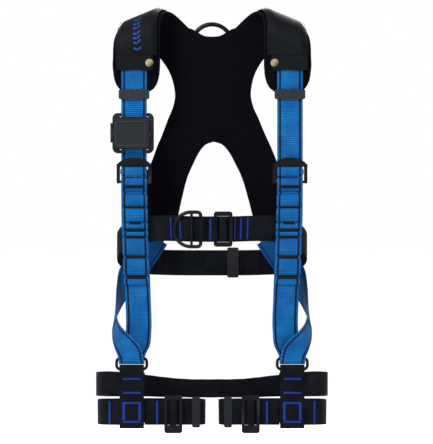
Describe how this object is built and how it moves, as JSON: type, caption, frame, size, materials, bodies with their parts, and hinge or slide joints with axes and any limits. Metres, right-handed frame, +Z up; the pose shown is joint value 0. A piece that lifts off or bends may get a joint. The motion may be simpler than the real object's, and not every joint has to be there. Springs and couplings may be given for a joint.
{
  "type": "fall-arrest safety harness",
  "caption": "Full-body fall-arrest harness of blue and black webbing with a padded X back, shoulder covers, belt, thigh straps and a dorsal D-ring.",
  "frame": {"origin": "inner top of the dorsal D-ring, where a lanyard hook bears, with the harness hanging upright", "axes": "+X from the harness's left side in front view to its right side, +Y from the front to the rear, +Z up"},
  "size_m": [0.408, 0.1371, 0.7521],
  "materials": {
    "pad": "black spacer-mesh padding with bound edges",
    "cover": "satin coated polyamide fabric",
    "snap": "aged nickelled snap fastener",
    "blue_webbing": "woven polyester webbing with black tracer lines",
    "black_webbing": "woven polyester webbing with blue bar tacks",
    "hardware": "black coated forged steel and alloy",
    "bar_metal": "black coated knurled bar",
    "plastic": "moulded dark grey polyamide",
    "label": "blank laminated label"
  },
  "bodies": {
    "harness": {"back_pad": "pad", "shoulder_pad_l": "pad", "shoulder_pad_r": "pad", "shoulder_cover_l": "cover", "shoulder_cover_r": "cover", "snap_stud_l": "snap", "snap_stud_r": "snap", "shoulder_strap_l": "blue_webbing", "shoulder_strap_r": "blue_webbing", "front_strap_l": "blue_webbing", "front_strap_r": "blue_webbing", "back_strap_l": "blue_webbing", "back_strap_r": "blue_webbing", "loop_webbing_l": "blue_webbing", "loop_webbing_r": "blue_webbing", "leg_connector_l": "black_webbing", "leg_connector_r": "black_webbing", "seat_strap": "black_webbing", "thigh_strap_l": "black_webbing", "thigh_strap_r": "black_webbing", "belt_left": "black_webbing", "belt_right": "black_webbing", "belt_rear": "black_webbing", "belt_d_loop": "black_webbing", "adjuster_frame_l": "hardware", "adjuster_frame_r": "hardware", "thigh_buckle_frame_l": "hardware", "thigh_buckle_frame_r": "hardware", "belt_buckle_frame": "hardware", "label_case_pin": "bar_metal", "dorsal_plate": "plastic", "label_case_base": "plastic", "label_pack": "label"},
    "dorsal_d": {"dorsal_ring": "hardware"},
    "belt_d": {"belt_d_ring": "hardware"},
    "case_lid": {"label_case_lid": "plastic"},
    "case_latch": {"label_case_latch": "plastic"},
    "belt_bar": {"belt_buckle_bar": "bar_metal"},
    "belt_sleeve": {"belt_keeper": "plastic"},
    "tab_l": {"snap_tab_l": "cover", "snap_cap_l": "snap"},
    "sleeve_l": {"strap_keeper_l": "plastic"},
    "grip_bar_l": {"adjuster_bar_l": "bar_metal"},
    "ring_l": {"leg_ring_l": "hardware"},
    "thigh_bar_l": {"thigh_buckle_bar_l": "bar_metal"},
    "thigh_sleeve_l": {"thigh_keeper_l": "plastic"},
    "tab_r": {"snap_tab_r": "cover", "snap_cap_r": "snap"},
    "sleeve_r": {"strap_keeper_r": "plastic"},
    "grip_bar_r": {"adjuster_bar_r": "bar_metal"},
    "ring_r": {"leg_ring_r": "hardware"},
    "thigh_bar_r": {"thigh_buckle_bar_r": "bar_metal"},
    "thigh_sleeve_r": {"thigh_keeper_r": "plastic"}
  },
  "joints": [
    {"name": "dorsal_swing", "type": "hinge", "parent": "harness", "child": "dorsal_d", "pos_m": [0, 0, -0.062], "axis": [1, 0, 0], "range_deg": [-150, 5]},
    {"name": "belt_d_swing", "type": "hinge", "parent": "harness", "child": "belt_d", "pos_m": [-0.02, -0.111, -0.36], "axis": [0, 0, 1], "range_deg": [0, 60]},
    {"name": "case_lid_hinge", "type": "hinge", "parent": "harness", "child": "case_lid", "pos_m": [-0.176, -0.122, -0.191], "axis": [0, 0, -1], "range_deg": [0, 110]},
    {"name": "case_latch_slide", "type": "slide", "parent": "case_lid", "child": "case_latch", "axis": [1, 0, 0], "range_m": [0, 0.002]},
    {"name": "tab_hinge_l", "type": "hinge", "parent": "harness", "child": "tab_l", "pos_m": [-0.168, -0.111, -0.068], "axis": [0, 0, -1], "range_deg": [0, 100]},
    {"name": "sleeve_slide_l", "type": "slide", "parent": "harness", "child": "sleeve_l", "axis": [0, 0, 1], "range_m": [-0.022, 0.028]},
    {"name": "grip_bar_slide_l", "type": "slide", "parent": "harness", "child": "grip_bar_l", "axis": [0, 0, 1], "range_m": [-0.001, 0.001]},
    {"name": "ring_swing_l", "type": "hinge", "parent": "harness", "child": "ring_l", "pos_m": [-0.141, -0.113, -0.606], "axis": [1, 0, 0], "range_deg": [-8, 1]},
    {"name": "thigh_bar_slide_l", "type": "slide", "parent": "harness", "child": "thigh_bar_l", "axis": [1, 0, 0], "range_m": [-0.002, 0.002]},
    {"name": "thigh_sleeve_slide_l", "type": "slide", "parent": "harness", "child": "thigh_sleeve_l", "axis": [-1, 0, 0], "range_m": [0, 0.014]},
    {"name": "tab_hinge_r", "type": "hinge", "parent": "harness", "child": "tab_r", "pos_m": [0.168, -0.111, -0.068], "axis": [0, 0, 1], "range_deg": [0, 100]},
    {"name": "sleeve_slide_r", "type": "slide", "parent": "harness", "child": "sleeve_r", "axis": [0, 0, 1], "range_m": [-0.09, 0.028]},
    {"name": "grip_bar_slide_r", "type": "slide", "parent": "harness", "child": "grip_bar_r", "axis": [0, 0, 1], "range_m": [-0.001, 0.001]},
    {"name": "ring_swing_r", "type": "hinge", "parent": "harness", "child": "ring_r", "pos_m": [0.141, -0.113, -0.606], "axis": [1, 0, 0], "range_deg": [-8, 1]},
    {"name": "thigh_bar_slide_r", "type": "slide", "parent": "harness", "child": "thigh_bar_r", "axis": [1, 0, 0], "range_m": [-0.002, 0.002]},
    {"name": "thigh_sleeve_slide_r", "type": "slide", "parent": "harness", "child": "thigh_sleeve_r", "axis": [1, 0, 0], "range_m": [0, 0.014]},
    {"name": "belt_bar_slide", "type": "slide", "parent": "harness", "child": "belt_bar", "axis": [1, 0, 0], "range_m": [-0.001, 0.001]},
    {"name": "belt_sleeve_slide", "type": "slide", "parent": "harness", "child": "belt_sleeve", "axis": [1, 0, 0], "range_m": [-0.085, 0.012]}
  ]
}
